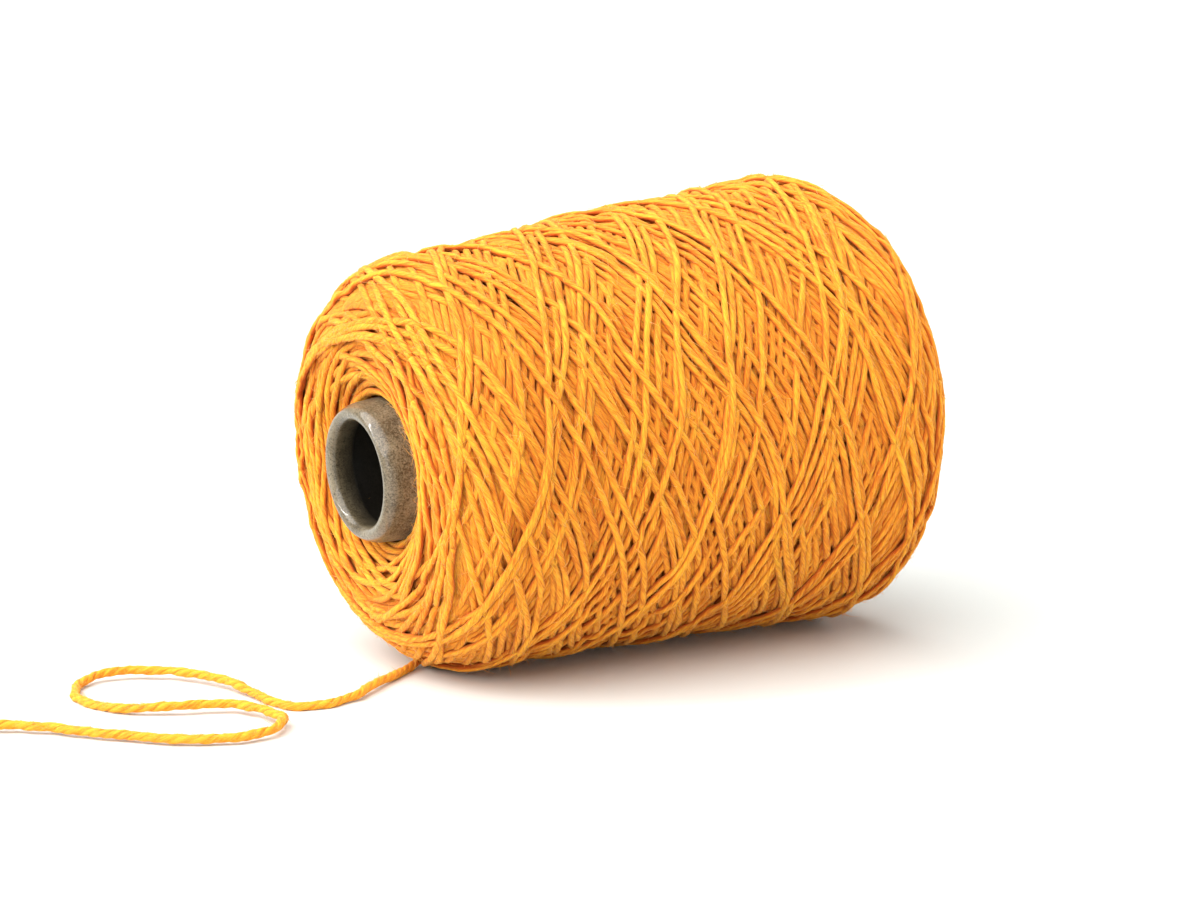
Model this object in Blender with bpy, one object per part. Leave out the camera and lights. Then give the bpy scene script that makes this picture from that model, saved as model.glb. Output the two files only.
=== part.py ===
"""A cone of yarn: yarn cross-wound on a hollow card cone, lying on its side, with its loose end in front.

Metres, +Z up. The slant of the winding rests on z = 0, the nose points to -X and the base to +X.
The origin is under the middle of the footprint, leaving out the loose end.

A place on the cone is given by three numbers: "along", the distance on the cone's axis from the
foremost plane of the winding's near face; "radius", the distance from that axis; and "angle", the turn
about it, 0 at the top and positive toward +Y.
"""
import math

import bmesh
import bpy
import numpy as np
from mathutils import Matrix

MM = 0.001

# ---------------------------------------------------------------- card core
CORE_LENGTH = 170 * MM
CORE_HALF_ANGLE = math.radians(4 + 20 / 60)
CORE_NOSE_RADIUS = 20 * MM          # outside, where the rolled lip begins
CORE_WALL = 3 * MM
NOSE_LIP_RADIUS = 2.43 * MM         # half the thickness of the rolled lip
LIP_STEPS = 8                       # faces round the lip in section
NOSE_LIP_REACH = 7.5 * MM           # how far the rolled-in card reaches down the bore
NOSE_LIP_TAPER = 0.2 * MM           # how much the bore widens along the rolled-in card
NOSE_LIP_STEP = 1.4 * MM            # length of the bevel from the rolled-in card back to the wall
NOSE_STANDS_OUT = 2.3 * MM          # nose ahead of the winding's near face

# ---------------------------------------------------------------- winding
WIND_LENGTH = 167.4 * MM
NEAR_RADIUS = 60.5 * MM             # the slant carried on to the near face's plane
FAR_RADIUS = 71.8 * MM              # the slant carried on to the far face's plane
NEAR_SHOULDER = (27.7 * MM, 23.5 * MM)   # reach of the rounding along the axis and in radius
FAR_SHOULDER = (21.5 * MM, 21.5 * MM)
NEAR_DISH = (7.0 * MM, 16 * MM)     # how deep the face sinks at the core, and over what radius
FAR_DISH = (8.7 * MM, 14 * MM)
PRESSED = 0.9 * MM                  # how much its own weight flattens the underside
UNDERSIDE = 180                     # its angle, in degrees
GROOVES_OPEN = (10, 24)             # degrees from there, over which the pressed grooves open again
CORE_GAP = 0.3 * MM                 # between the core and the winding

# Shallow hollows of the worn-down, uneven winding, each fading out all round its middle.
# columns: along mm, angle deg, half length mm, half angle deg, depth mm
HOLLOWS = (
    (42, 0, 30, 95, 2.2),
    (112, 10, 18, 80, 1.0),
    (60, -150, 38, 45, 1.2),
    (110, -150, 30, 40, 1.0),
    (162, -100, 16, 30, 0.8),
    (8, 150, 16, 28, 0.8),
)

# ---------------------------------------------------------------- wound bands
BANDS = 20                          # crossing bands of yarn each way round
ROW_PITCH = 1.76 * MM               # from row to row of the winding's points, along its surface
BAND_RELIEF = 1.7 * MM              # from the top of a band to the groove beside it
SHOW_THROUGH = 0.35                 # how high a lower band shows in the grooves of the upper ones
PATCH_WIDTHS = (3, 2, 4, 3, 2, 3, 3)     # bands side by side that lie over or under others together
PATCH_ROWS, PATCH_TURNS = 40, 4     # rows of the winding before the order of the patches changes
RING_RELIEF = 1.1 * MM              # the same for the rings of turned-back yarn on the end faces
BANDS_BEGIN = (0.35, 0.75)          # outward lean of the outline, over which rings give way to bands
BAND_STAND = (0.7, 1.0)             # least and greatest height of a band, as a share of the relief
PROUD_STAND, PROUD_SHARE = 1.2, 0.15     # a few bands stand higher
RING_STAND, RING_SWELL, RING_GROOVE = 0.75, 0.25, 0.12     # heights round a ring, as such shares
RING_WAVES = (2, 5)                 # swells round a ring, from and below
BAND_EDGE = math.radians(12)        # a sharper fold than this is shaded as an edge
SEGMENTS = 2 * BANDS                # points round the cone, shared by the winding and the core
SEED = 7

# ---------------------------------------------------------------- loose end
YARN_DIAMETER = 2.2 * MM
TAIL_LIFT = 0.05 * MM
TAIL_STEP = 2.4 * YARN_DIAMETER     # between two points of the cord

# The route of the loose end over the surface, x and y in mm, from under the near shoulder to its cut end.
TAIL_ROUTE = (
    (-68.2, 0.5), (-77, -6), (-86, -12.5), (-95, -19), (-103, -22.5), (-110, -23), (-115, -20.5),
    (-118, -15), (-119.5, -6), (-121, 5), (-123.5, 15), (-128, 24), (-134, 31), (-141.5, 36),
    (-149, 36.5), (-156, 33.5), (-160.5, 26.5), (-162, 17), (-159.5, 7), (-154, -1.5), (-145, -7),
    (-135.5, -11), (-129, -17), (-126, -25), (-126, -34), (-131, -40.5), (-139, -42.5),
    (-148, -40), (-157, -34), (-165.5, -25.5), (-174, -15), (-182, -5.5), (-190.5, 2), (-201, 8),
    (-214, 12),
)

# ---------------------------------------------------------------- colours
YARN_COLOUR = (0.80, 0.30, 0.018, 1.0)
CARD_COLOUR = (0.19, 0.155, 0.115, 1.0)


def clear_scene():
    """Removes every object, so that the file holds the cone alone."""
    for thing in list(bpy.data.objects):
        bpy.data.objects.remove(thing, do_unlink=True)


def material(name, colour, roughness):
    """Returns a plain Principled material."""
    made = bpy.data.materials.new(name)
    made.use_nodes = True
    shader = made.node_tree.nodes["Principled BSDF"]
    shader.inputs["Base Color"].default_value = colour
    shader.inputs["Roughness"].default_value = roughness
    shader.inputs["Metallic"].default_value = 0.0
    return made


def add_object(name, data, finish):
    """Puts a mesh or a curve into the scene as a named object with its material."""
    thing = bpy.data.objects.new(name, data)
    data.materials.append(finish)
    bpy.context.scene.collection.objects.link(thing)
    return thing


# ---------------------------------------------------------------- shape of the cone in section
TILT = math.atan2(FAR_RADIUS - NEAR_RADIUS, WIND_LENGTH)


def slant_radius(along):
    """Radius of the winding's straight slant."""
    return NEAR_RADIUS + math.tan(TILT) * along


def core_radius(along):
    """Outside radius of the card core."""
    behind_lip = along + NOSE_STANDS_OUT - NOSE_LIP_RADIUS
    return CORE_NOSE_RADIUS + math.tan(CORE_HALF_ANGLE) * behind_lip


def winding_profile(steps=48):
    """The winding's outline as rows of (along, radius), from the core over the near face, the near
    shoulder, the slant, the far shoulder and the far face, back to the core. Each shoulder is a
    quarter of an ellipse, and each face sinks toward the core along a quarter of a sine wave."""
    quarter = np.linspace(0, math.pi / 2, steps)
    near_long, near_high = NEAR_SHOULDER
    far_long, far_high = FAR_SHOULDER
    near_top = slant_radius(near_long)
    far_top = slant_radius(WIND_LENGTH - far_long)

    near_face_radius = core_radius(NEAR_DISH[0]) + CORE_GAP
    near_dish = np.column_stack([
        NEAR_DISH[0] * (1 - np.sin(quarter)),
        near_face_radius + NEAR_DISH[1] * quarter / quarter[-1],
    ])
    near_shoulder = np.column_stack([
        near_long * (1 - np.cos(quarter)),
        near_top - near_high + near_high * np.sin(quarter),
    ])
    far_shoulder = np.column_stack([
        WIND_LENGTH - far_long + far_long * np.sin(quarter),
        far_top - far_high + far_high * np.cos(quarter),
    ])
    far_face_radius = core_radius(WIND_LENGTH - FAR_DISH[0]) + CORE_GAP
    far_dish = np.column_stack([
        WIND_LENGTH - FAR_DISH[0] * (1 - np.cos(quarter)),
        far_face_radius + FAR_DISH[1] * (1 - quarter / quarter[-1]),
    ])
    return np.concatenate([near_dish, near_shoulder, far_shoulder, far_dish])


def even_rows(outline, pitch):
    """Reads an outline again at an odd number of rows an even arc apart, and returns the rows with
    their outward normals."""
    arc = np.concatenate([[0], np.cumsum(np.linalg.norm(np.diff(outline, axis=0), axis=1))])
    rows = 2 * round(arc[-1] / pitch / 2) + 1
    at = np.linspace(0, arc[-1], rows)
    points = np.column_stack([np.interp(at, arc, outline[:, 0]), np.interp(at, arc, outline[:, 1])])
    run = np.gradient(points, axis=0)
    run /= np.linalg.norm(run, axis=1)[:, None]
    return points, np.column_stack([-run[:, 1], run[:, 0]])


def footprint_middle():
    """The x of the footprint's middle, before the cone is moved to stand with it on the origin."""
    outline = winding_profile()
    foremost = -NOSE_STANDS_OUT * math.cos(TILT) - (CORE_NOSE_RADIUS - NOSE_LIP_RADIUS) * math.sin(TILT)
    hindmost = (outline[:, 0] * math.cos(TILT) + outline[:, 1] * math.sin(TILT)).max()
    return (foremost + hindmost) / 2


def cone_matrix():
    """Places the cone: its axis is local +Z, and local +X is the side that faces up."""
    axis = (math.cos(TILT), 0, math.sin(TILT))
    up = (-math.sin(TILT), 0, math.cos(TILT))
    start = (-footprint_middle(), 0, NEAR_RADIUS * math.cos(TILT) - PRESSED)
    return Matrix((
        (up[0], 0, axis[0], start[0]),
        (0, -1, 0, start[1]),
        (up[2], 0, axis[2], start[2]),
        (0, 0, 0, 1),
    ))


# ---------------------------------------------------------------- winding
def smooth_share(value, start, end):
    """Rises smoothly from 0 where value is at start to 1 where it is at end."""
    share = np.clip((value - start) / (end - start), 0, 1)
    return share * share * (3 - 2 * share)


def hollow_depth(along, angle):
    """How far the uneven winding lies inside its even outline: the sum of the hollows, each a
    bell curve in along and in angle."""
    depth = np.zeros(np.broadcast(along, angle).shape)
    for middle, turn, half_length, half_angle, deep in HOLLOWS:
        off = (along / MM - middle) / half_length
        turned = (np.degrees(angle) - turn + 180) % 360 - 180
        depth += deep * MM * np.exp(-off ** 2 - (turned / half_angle) ** 2)
    return depth


def patches(random, line):
    """Numbers the patches of neighbouring bands that one winding direction is parted into, 2 to 4
    bands to a patch, and returns the patch of each line."""
    widths = random.permutation(PATCH_WIDTHS)
    patch_of_band = np.repeat(np.arange(len(widths)), widths)
    return patch_of_band[line // 2]


def band_heights(rows):
    """Height of the crossing bands at each point of the winding, from 0 in a groove to 1 on a band.

    Row j holds every second of 2 * SEGMENTS places round the cone, so that both (place + j) / 2 and
    (place - j) / 2 are whole: the first numbers the lines of one winding direction, the second those
    of the other. Even lines run along the top of a band, odd ones along the groove beside it. In each
    diamond where a patch of one direction crosses a patch of the other, one of the two lies on top and
    shows its bands and grooves, and the other shows only where a groove lets it through."""
    random = np.random.RandomState(SEED)
    row = np.arange(rows)[:, None]
    place = 2 * np.arange(SEGMENTS)[None, :] + row % 2
    lines = [((place + row) // 2) % SEGMENTS, ((place - row) // 2) % SEGMENTS]
    diamond = [patches(random, line) for line in lines]
    stand = random.uniform(*BAND_STAND, (2, BANDS))
    stand[random.uniform(size=stand.shape) < PROUD_SHARE] = PROUD_STAND
    turn = (row // PATCH_ROWS) % PATCH_TURNS
    on_top = random.randint(0, 2, (PATCH_TURNS, len(PATCH_WIDTHS), len(PATCH_WIDTHS)))
    on_top = on_top[turn, diamond[0], diamond[1]]

    height = []
    for line, tops in zip(lines, stand):
        height.append(np.where(line % 2 == 0, tops[line // 2], 0.0))
    upper = np.where(on_top == 0, height[0], height[1])
    lower = np.where(on_top == 0, height[1], height[0])
    return np.maximum(upper, SHOW_THROUGH * lower)


def ring_heights(rows):
    """Height of the rings of yarn on an end face: every second row stands up, and each ring swells
    and sinks in a few slow waves as it goes round."""
    random = np.random.RandomState(SEED + 1)
    row = np.arange(rows)[:, None]
    angle = (2 * np.arange(SEGMENTS)[None, :] + row % 2) * math.pi / SEGMENTS
    waves = random.randint(*RING_WAVES, (rows, 1))
    phase = random.uniform(0, 2 * math.pi, (rows, 1))
    return np.where(row % 2 == 1, RING_STAND + RING_SWELL * np.sin(waves * angle + phase), RING_GROOVE)


def make_winding(finish):
    """The winding: staggered rows of points on the outline turned about the axis, raised along the
    bands and rings, sunk at the hollows and pressed flat on the surface; its hole runs back along
    the core. A diamond between four neighbouring points is split in the axis's direction on the slant
    and round the cone on the end faces, so that its edges follow the bands and the rings."""
    outline, normal = even_rows(winding_profile(), ROW_PITCH)
    rows = len(outline)
    row = np.arange(rows)[:, None]
    angle = (2 * np.arange(SEGMENTS)[None, :] + row % 2) * math.pi / SEGMENTS
    along = outline[:, :1] + 0 * angle
    radius = outline[:, 1:] + 0 * angle

    share = smooth_share(normal[:, 1:], *BANDS_BEGIN)
    sink = share * BAND_RELIEF * (1 - band_heights(rows))
    sink += (1 - share) * RING_RELIEF * (1 - ring_heights(rows))
    sink += hollow_depth(along, angle)
    sink *= smooth_share(np.abs(np.degrees(angle) - UNDERSIDE), *GROOVES_OPEN)
    sink[[0, -1]] = 0
    along = along - sink * normal[:, :1]
    radius = radius - sink * normal[:, 1:]

    local = np.stack([radius * np.cos(angle), -radius * np.sin(angle), along, np.ones_like(along)])
    placed = np.einsum("ij,jrc->rci", np.array(cone_matrix()), local)[..., :3]
    placed[..., 2] = np.maximum(placed[..., 2], 0)

    build = bmesh.new()
    points = [[build.verts.new(xyz) for xyz in line] for line in placed.tolist()]

    def point(j, place):
        """The point of row j at a place round the cone, counted in half segments."""
        return points[j][(place - j % 2) // 2 % SEGMENTS]

    for place in range(0, 2 * SEGMENTS):
        for j in range(place % 2, rows - 2, 2):
            low, high = point(j, place), point(j + 2, place)
            ahead, behind = point(j + 1, place + 1), point(j + 1, place - 1)
            if share[j + 1, 0] > 0.5:
                build.faces.new((low, ahead, high))
                build.faces.new((low, high, behind))
            else:
                build.faces.new((low, ahead, behind))
                build.faces.new((high, behind, ahead))
    for place in range(0, 2 * SEGMENTS, 2):
        build.faces.new((point(0, place), point(0, place + 2), point(1, place + 1)))
        build.faces.new((point(rows - 1, place), point(rows - 2, place + 1), point(rows - 1, place + 2)))
        build.faces.new((
            point(0, place + 2), point(0, place),
            point(rows - 1, place), point(rows - 1, place + 2),
        ))
    bmesh.ops.recalc_face_normals(build, faces=build.faces)
    mesh = bpy.data.meshes.new("wound_yarn")
    build.to_mesh(mesh)
    build.free()
    mesh.shade_smooth()
    mesh.set_sharp_from_angle(angle=BAND_EDGE)
    return add_object("wound_yarn", mesh, finish)


# ---------------------------------------------------------------- card core
def core_section():
    """The closed section of the card core as (radius, along), down its outer side from the base to
    the nose, round the rolled lip, and back up the bore to the base."""
    nose = -NOSE_STANDS_OUT
    base = nose + CORE_LENGTH
    lip_middle = CORE_NOSE_RADIUS - NOSE_LIP_RADIUS
    bore = lip_middle - NOSE_LIP_RADIUS
    section = [(core_radius(base), base)]
    for turn in np.linspace(0, math.pi, LIP_STEPS + 1):
        section.append((lip_middle + NOSE_LIP_RADIUS * math.cos(turn),
                        nose + NOSE_LIP_RADIUS * (1 - math.sin(turn))))
    lip_end = nose + NOSE_LIP_REACH
    wall_start = lip_end + NOSE_LIP_STEP
    section.append((bore + NOSE_LIP_TAPER, lip_end))
    section.append((core_radius(wall_start) - CORE_WALL, wall_start))
    section.append((core_radius(base) - CORE_WALL, base))
    return section


def make_core(finish):
    """The card core: its section turned about the cone's axis with a Screw modifier."""
    section = core_section()
    mesh = bpy.data.meshes.new("core")
    corners = [(radius, 0, along) for radius, along in section]
    sides = [(i, (i + 1) % len(section)) for i in range(len(section))]
    mesh.from_pydata(corners, sides, [])
    core = add_object("core", mesh, finish)
    core.matrix_world = cone_matrix()
    screw = core.modifiers.new("turned", "SCREW")
    screw.steps = screw.render_steps = SEGMENTS
    screw.use_merge_vertices = True
    screw.merge_threshold = 0.00001
    screw.use_smooth_shade = True
    return core


# ---------------------------------------------------------------- loose end
def smooth_route(route, step):
    """A Catmull-Rom curve through the route's points, read again at points an even step apart."""
    given = np.array(route, dtype=float)
    ends = np.vstack([2 * given[0] - given[1], given, 2 * given[-1] - given[-2]])
    share = np.linspace(0, 1, 24, endpoint=False)[:, None]
    fine = []
    for before, start, end, after in zip(ends, ends[1:], ends[2:], ends[3:]):
        fine.append(0.5 * (2 * start + (end - before) * share
                           + (2 * before - 5 * start + 4 * end - after) * share ** 2
                           + (3 * start - before - 3 * end + after) * share ** 3))
    fine = np.vstack(fine + [given[-1:]])
    arc = np.concatenate([[0], np.cumsum(np.linalg.norm(np.diff(fine, axis=0), axis=1))])
    at = np.linspace(0, arc[-1], round(arc[-1] / step) + 1)
    return np.column_stack([np.interp(at, arc, fine[:, axis]) for axis in range(given.shape[1])])


def make_tail(finish):
    """The loose end: a round cord lying on the surface along its route."""
    flat = smooth_route(np.array(TAIL_ROUTE) * MM, TAIL_STEP)
    curve = bpy.data.curves.new("yarn_tail", "CURVE")
    curve.dimensions = "3D"
    curve.bevel_depth = YARN_DIAMETER / 2
    curve.bevel_resolution = 2
    curve.use_fill_caps = True
    line = curve.splines.new("POLY")
    line.points.add(len(flat) - 1)
    for spot, (x, y) in zip(line.points, flat):
        spot.co = (x, y, YARN_DIAMETER / 2 + TAIL_LIFT, 1)
    return add_object("yarn_tail", curve, finish)


def main():
    clear_scene()
    yarn = material("yarn", YARN_COLOUR, 0.85)
    card = material("card", CARD_COLOUR, 0.45)
    make_core(card)
    make_winding(yarn)
    make_tail(yarn)


main()
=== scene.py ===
"""Looks of the cone of yarn: every turn of the wound yarn laid in order on the ones below it, the loose
end as plied yarn, the fuzz, and the card cone, in a plain pale studio. Metres, +Z up, in the frame's own
axes. Lengths below are in mm and angles in radians where nothing else is said."""
import math
from collections import namedtuple
from functools import partialmethod

import bpy
import numpy as np
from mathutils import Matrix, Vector


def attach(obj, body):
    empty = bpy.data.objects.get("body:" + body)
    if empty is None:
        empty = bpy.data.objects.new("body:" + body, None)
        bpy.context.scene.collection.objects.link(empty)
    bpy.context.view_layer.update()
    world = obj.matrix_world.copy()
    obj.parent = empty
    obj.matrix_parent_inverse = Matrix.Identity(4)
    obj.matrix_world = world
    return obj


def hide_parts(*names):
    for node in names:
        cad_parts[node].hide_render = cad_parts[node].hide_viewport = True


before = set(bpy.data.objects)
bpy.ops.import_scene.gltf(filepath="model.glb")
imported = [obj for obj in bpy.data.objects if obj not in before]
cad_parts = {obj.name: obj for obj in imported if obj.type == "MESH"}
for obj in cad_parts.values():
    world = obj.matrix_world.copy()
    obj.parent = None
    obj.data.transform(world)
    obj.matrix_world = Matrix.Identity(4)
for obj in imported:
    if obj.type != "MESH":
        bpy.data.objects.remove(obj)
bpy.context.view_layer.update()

MM = 0.001
TAU = 2 * math.pi
SEED = 11

# ---- sizes of the cone in mm, as in the CAD
CORE_LENGTH = 170.0
CORE_HALF_ANGLE = math.radians(4 + 20 / 60)
CORE_NOSE_RADIUS = 20.0
CORE_WALL = 3.0
NOSE_LIP_RADIUS = 2.43
NOSE_LIP_REACH = 7.5  # of the rolled lip, into the bore
NOSE_LIP_STEP = 1.4  # from its end to the plain wall
NOSE_LIP_TAPER = 0.2
NOSE_STANDS_OUT = 2.3
WIND_LENGTH = 167.4
NEAR_RADIUS = 60.5  # of the slant, carried on to each end
FAR_RADIUS = 71.8
NEAR_SHOULDER = (27.7, 23.5)  # along the cone and inward
FAR_SHOULDER = (21.5, 21.5)
NEAR_DISH = (7.0, 16.0)  # depth at the core, and width
FAR_DISH = (8.7, 14.0)
PRESSED = 0.9  # depth of the flat that the cone lies on
TILT = math.atan2(FAR_RADIUS - NEAR_RADIUS, WIND_LENGTH)

# Shallow hollows of the winding: along, angle in degrees, half length, half angle in degrees, depth.
HOLLOWS = (
    (42, 0, 30, 95, 2.2), (112, 10, 18, 80, 1.0), (60, -150, 38, 45, 1.2),
    (110, -150, 30, 40, 1.0), (162, -100, 16, 30, 0.8), (8, 150, 16, 28, 0.8),
)

# The route of the loose end over the surface, x and y, from under the near shoulder to its cut end.
TAIL_ROUTE = (
    (-68.2, 0.5), (-77, -6), (-86, -12.5), (-95, -19), (-103, -22.5), (-110, -23), (-115, -20.5),
    (-118, -15), (-119.5, -6), (-121, 5), (-123.5, 15), (-128, 24), (-134, 31), (-141.5, 36),
    (-149, 36.5), (-156, 33.5), (-160.5, 26.5), (-162, 17), (-159.5, 7), (-154, -1.5), (-145, -7),
    (-135.5, -11), (-129, -17), (-126, -25), (-126, -34), (-131, -40.5), (-139, -42.5),
    (-148, -40), (-157, -34), (-165.5, -25.5), (-174, -15), (-182, -5.5), (-190.5, 2), (-201, 8),
    (-214, 12),
)
YARN_DIAMETER = 2.2
TAIL_LIFT = 0.05  # of the loose end off the floor, where it touches

# ---- winding
YARN_WIDTH, YARN_HEIGHT = 2.2, 1.85  # of a turn lying on the winding
HALF_HEIGHT = YARN_HEIGHT / 2
CELL = 0.5  # grid of the winding's height map, along its outline
COLUMNS = 760  # the same, round the cone


def slant_radius(along):
    """The radius of the slant, an even taper."""
    return NEAR_RADIUS + math.tan(TILT) * along


def core_radius(along):
    """The outer radius of the core, an even taper."""
    return CORE_NOSE_RADIUS + math.tan(CORE_HALF_ANGLE) * (along + NOSE_STANDS_OUT - NOSE_LIP_RADIUS)


def unit(rows):
    """Each row as a vector of length one."""
    return rows / np.linalg.norm(rows, axis=-1, keepdims=True)


def arc_of(points):
    """The length of the way along a line of points, at each of them."""
    return np.concatenate([[0], np.cumsum(np.linalg.norm(np.diff(points, axis=0), axis=1))])


class Outline:
    """The winding's outline from the core over the near face, shoulders and slant back to the core, as
    tables of along, radius and outward normal at even steps of its arc. The dished faces are quarters
    of a sine wave, and the shoulders quarters of an ellipse."""

    def __init__(self, cell):
        quarter = np.linspace(0, math.pi / 2, 200)
        falling, rising, share = 1 - np.sin(quarter), 1 - np.cos(quarter), quarter / quarter[-1]
        along = np.concatenate([NEAR_DISH[0] * falling, NEAR_SHOULDER[0] * rising,
                                WIND_LENGTH - FAR_SHOULDER[0] * falling, WIND_LENGTH - FAR_DISH[0] * rising])
        radius = np.concatenate([core_radius(NEAR_DISH[0]) + NEAR_DISH[1] * share,
                                 slant_radius(NEAR_SHOULDER[0]) - NEAR_SHOULDER[1] * falling,
                                 slant_radius(WIND_LENGTH - FAR_SHOULDER[0]) - FAR_SHOULDER[1] * rising,
                                 core_radius(WIND_LENGTH - FAR_DISH[0]) + FAR_DISH[1] * (1 - share)])
        arc = arc_of(np.column_stack([along, radius]))
        self.cells = int(round(arc[-1] / cell)) + 1
        self.arc = np.linspace(0, arc[-1], self.cells)
        self.length = arc[-1]
        self.cell = self.arc[1]
        soft = np.hanning(17) / np.hanning(17).sum()

        def read(values):
            even = np.interp(self.arc, arc, values)
            padded = np.concatenate([2 * even[0] - even[8:0:-1], even, 2 * even[-1] - even[-2:-10:-1]])
            return np.convolve(padded, soft, "valid")

        self.along, self.radius = read(along), read(radius)
        run = unit(np.column_stack([np.gradient(self.along), np.gradient(self.radius)]))
        self.out_along, self.out_radius = -run[:, 1], run[:, 0]

    def at(self, table, s):
        """One of the tables read at places s on the arc."""
        return np.interp(s, self.arc, table)


outline = Outline(CELL)


# ---- laying the yarn
STEP = 0.33  # between the places of a turn's path
BESIDE = 0.25  # between two feelers
REACH = 4  # feelers to each side under a turn
SLIP = 8  # feelers that it may slip to each side
OFFSETS = np.arange(-REACH, REACH + 1) * BESIDE
FEELERS = np.arange(-REACH - SLIP, REACH + SLIP + 1) * BESIDE
SLIPS = np.arange(0, 2 * SLIP + 1, 2)
# Half a turn's section over the offsets, as a share of its half height: sqrt(1 - offset^2), an ellipse.
ROUND = np.sqrt(np.clip(1 - (OFFSETS / (YARN_WIDTH / 2)) ** 2, 0, 1))[:, None]
BEDDING = 0.60  # share of its half height that it keeps over those below
CHOICE_LENGTH, SLIP_LENGTH = 24, 22  # over which a turn chooses a groove, and slips into it
CHOOSY = 0.12  # a groove this much deeper is clearly the better one
BEND, BRIDGE, LAST_BEND = 4.0, 2.4, 3.0  # over which a turn bends, rides on from a peak, and is evened
STIFF = 0.25  # how far it rides on the peaks below it and not on their mean
PROUD = 1.0  # about the most that it stands above or below the yarn round it
EDGE = 0.9  # the nearest that its middle comes to an end of the outline
DIVE = 5.0  # how deep the end of a turn-round goes
SHUT = 0.12  # share of the dive past which it raises the grid no more
TUCK = 12.0  # over which the end of a turn-round dives under others
JOIN = 8.0  # over which a strand finds its own way from a join
LEVEL_WIDTH, PROFILE_WIDTH, CREST_WIDTH = 16.0, 4.0, 11.0
CREST_REACH = 4  # cells to each side, for the crest


def box_smooth(rows, width):
    """Running mean along the last axis, its ends held."""
    width = max(3, int(width) | 1)
    others = [(0, 0)] * (rows.ndim - 1)
    padded = np.pad(rows, others + [(width // 2, width // 2)], mode="edge")
    total = np.pad(np.cumsum(padded, -1), others + [(1, 0)])
    return (total[..., width:] - total[..., :-width]) / width


def most_near(rows, reach, mode="edge"):
    """Running greatest value down the rows, over a reach to each side. Their ends go on as mode says."""
    padded = np.pad(rows, [(reach, reach)] + [(0, 0)] * (rows.ndim - 1), mode=mode)
    return np.lib.stride_tricks.sliding_window_view(padded, 2 * reach + 1, axis=0).max(-1)


def box_most(row, width):
    """Running greatest value along a row, over a width."""
    return most_near(row, max(1, int(width) // 2))


def grid_smooth(grid, width):
    """Running mean of the height grid over a width in mm, twice along the outline, whose slope is
    carried on past its ends, and twice round."""
    lines = int(width / CELL)
    for _ in range(2):
        longer = np.pad(grid, ((lines, lines), (0, 0)), mode="reflect", reflect_type="odd")
        grid = box_smooth(longer.T, lines).T[lines:-lines]
        wrapped = np.concatenate([grid[:, -lines:], grid, grid[:, :lines]], 1)
        grid = box_smooth(wrapped, lines)[:, lines:-lines]
    return grid


def heading(s, angle, radius):
    """The direction of a path on the surface, along the outline and round it, and its steps."""
    run_s, run_a = np.gradient(s), np.gradient(angle) * radius
    step = np.hypot(run_s, run_a)
    return run_s / step, run_a / step, step


Turn = namedtuple("Turn", "s angle height run_s run_a pace dive")


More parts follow.
